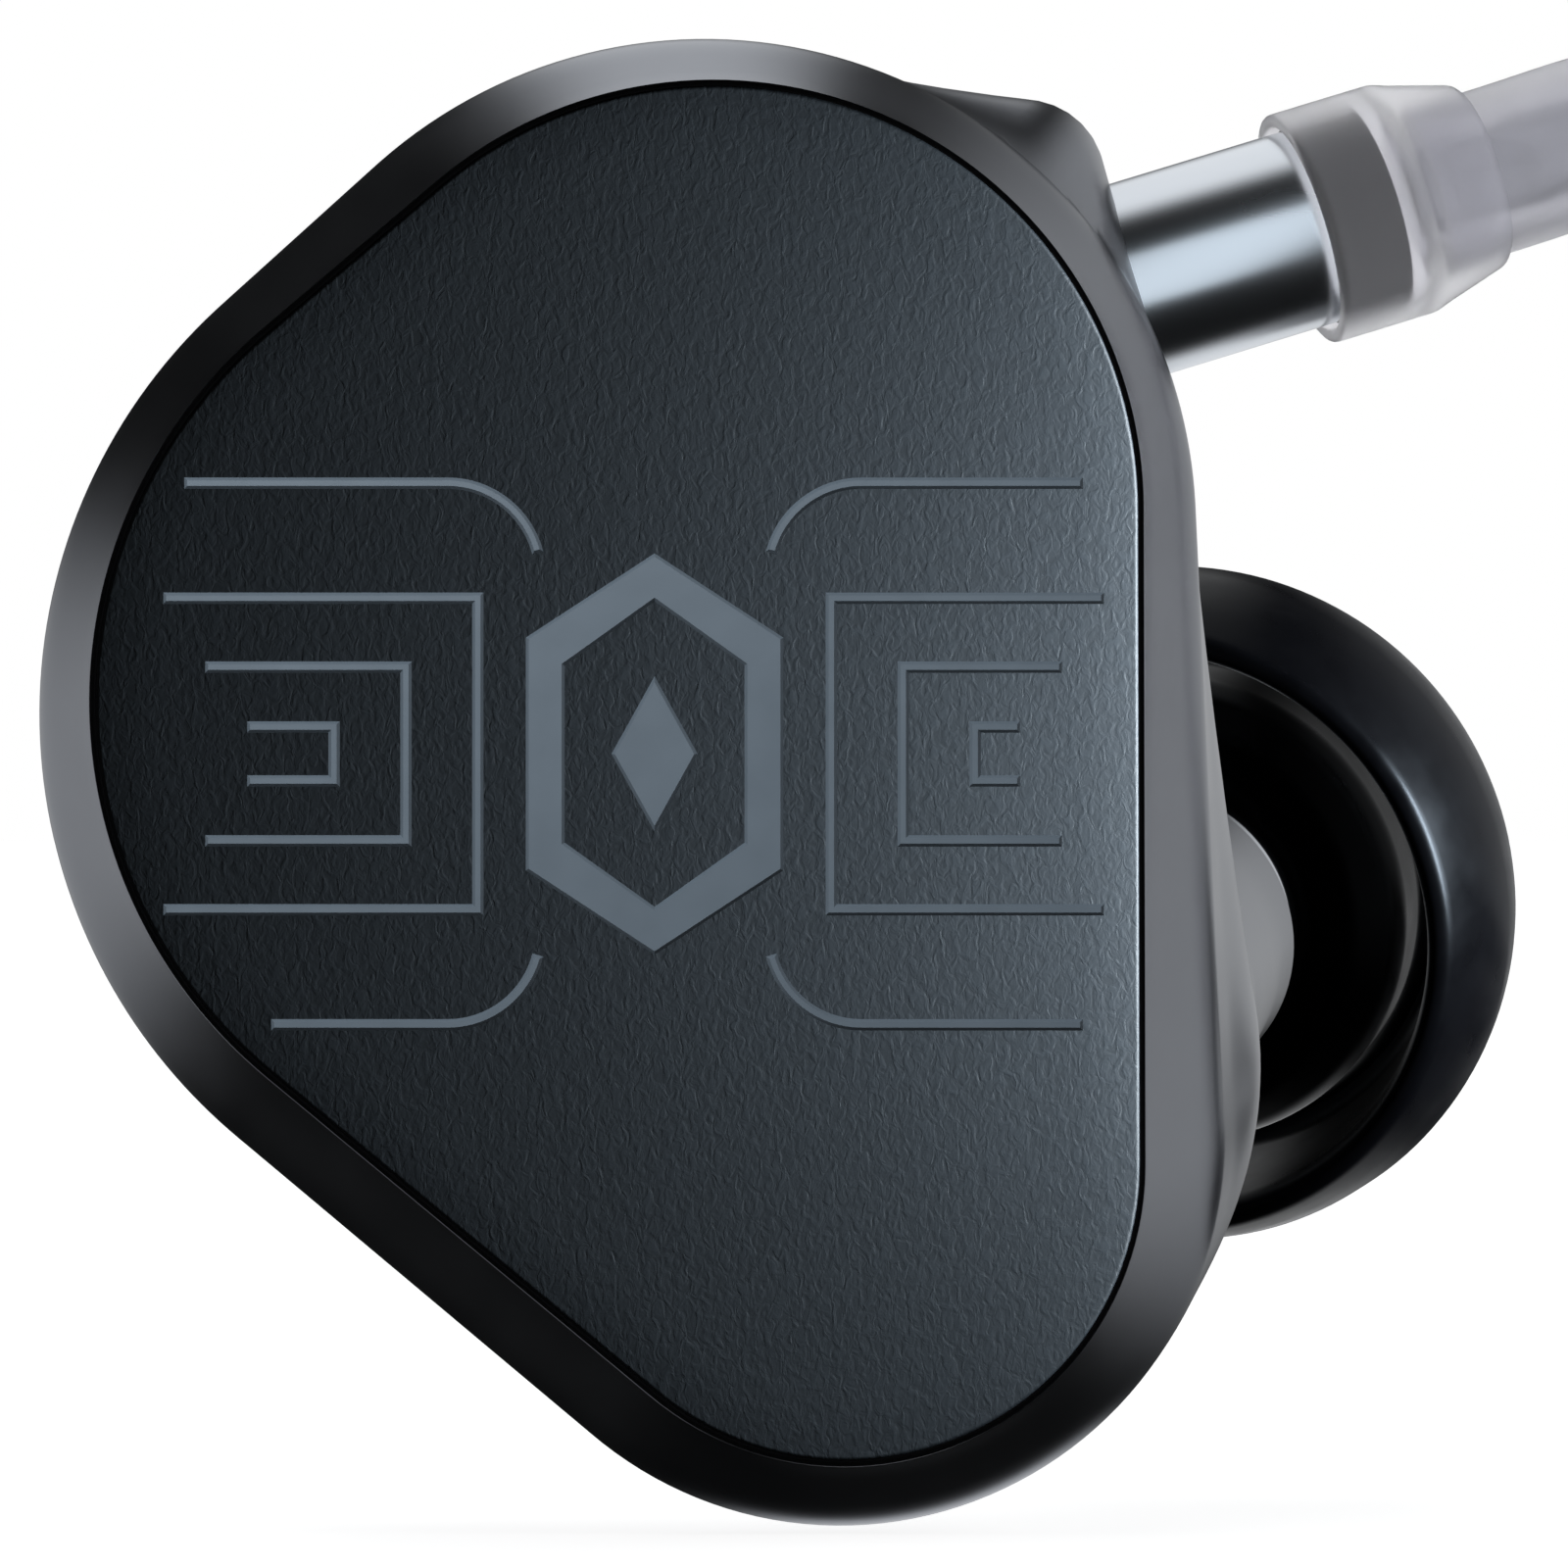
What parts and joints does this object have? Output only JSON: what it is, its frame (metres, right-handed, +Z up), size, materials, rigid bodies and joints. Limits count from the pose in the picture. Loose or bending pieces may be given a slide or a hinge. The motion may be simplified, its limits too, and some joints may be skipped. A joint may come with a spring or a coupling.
{
  "type": "in-ear monitor earphone",
  "caption": "Right in-ear monitor: rounded triangular metal shell, grained faceplate, angled nozzle with silicone tip, pull-out swivel plug and coiled lead.",
  "frame": {"origin": "on the surface that the earpiece stands on, under the middle of the earpiece's box without the pieces along the lead", "axes": "+X towards the plug, forward on a right ear; +Y from the faceplate into the head; +Z up"},
  "size_m": [0.0733, 0.0364, 0.0256],
  "materials": {
    "shell_metal": "satin anodised gunmetal",
    "faceplate_texture": "fine leather-like grain",
    "bright_steel": "polished, softly blurred",
    "dark_steel": "fine woven or drawn steel",
    "gold": "gold plated",
    "copper": "enamelled copper",
    "silicone": "satin silicone",
    "clear_plastic": "frosted clear",
    "cable_jacket": "clear jacket over tinned strands",
    "black_plastic": "fine moulded",
    "marker_black": "smooth moulded",
    "tie_strap": "hook and loop strap",
    "white_plastic": "moulded insulator",
    "board_green": "lacquered board",
    "film": "thin formed film",
    "foam": "open foam"
  },
  "bodies": {
    "earpiece": {"main_shell": "shell_metal", "faceplate": "faceplate_texture", "nozzle": "bright_steel", "faceplate_seal": "foam", "vent_screen": "dark_steel", "nozzle_screen": "dark_steel", "nozzle_damper": "foam", "socket_body": "gold", "socket_insulator": "white_plastic", "socket_contact": "gold", "socket_nut": "bright_steel", "driver_yoke": "dark_steel", "driver_magnet": "bright_steel", "driver_top_plate": "dark_steel", "driver_frame": "black_plastic", "driver_front_cover": "dark_steel", "midrange_driver_case": "bright_steel", "midrange_driver_spout": "bright_steel", "treble_driver_case": "bright_steel", "treble_driver_spout": "bright_steel", "midrange_sound_tube": "clear_plastic", "treble_sound_tube": "clear_plastic", "crossover_board": "board_green", "crossover_capacitor_1": "film", "crossover_capacitor_2": "film", "crossover_resistor": "black_plastic", "socket_wire_1": "copper", "socket_wire_2": "gold", "driver_wire": "copper"},
    "tip": {"ear_tip": "silicone"},
    "diaphragm": {"diaphragm_dome": "film", "voice_coil": "copper"},
    "lead": {"plug_snap_contact": "gold", "plug_insulator": "white_plastic", "plug_center_pin": "gold", "cable": "cable_jacket", "ear_guide": "clear_plastic", "cable_coil": "cable_jacket", "cable_tail": "cable_jacket", "cable_tie": "tie_strap", "jack_strain_relief": "black_plastic", "jack_grip": "bright_steel", "jack_sleeve_contact": "gold", "jack_insulator_1": "black_plastic", "jack_ring_contact": "gold", "jack_insulator_2": "black_plastic", "jack_tip_contact": "gold"},
    "swivel": {"plug_barrel": "bright_steel", "side_marker_ring": "marker_black", "strain_relief_sleeve": "clear_plastic"}
  },
  "joints": [
    {"name": "ear_tip_pull", "type": "slide", "parent": "earpiece", "child": "tip", "axis": [0.275, 0.934, 0.228], "range_m": [0, 0.006]},
    {"name": "plug_pull", "type": "slide", "parent": "earpiece", "child": "lead", "axis": [0.9371, 0.191, 0.292], "range_m": [0, 0.0045]},
    {"name": "plug_swivel", "type": "hinge", "parent": "lead", "child": "swivel", "pos_m": [0.00602, -0.00438, 0.0211], "axis": [0.9371, 0.191, 0.292], "continuous": true},
    {"name": "diaphragm_excursion", "type": "slide", "parent": "earpiece", "child": "diaphragm", "axis": [0, 1, 0], "range_m": [-0.00025, 0.00025], "stiffness_N_per_m": 500}
  ]
}
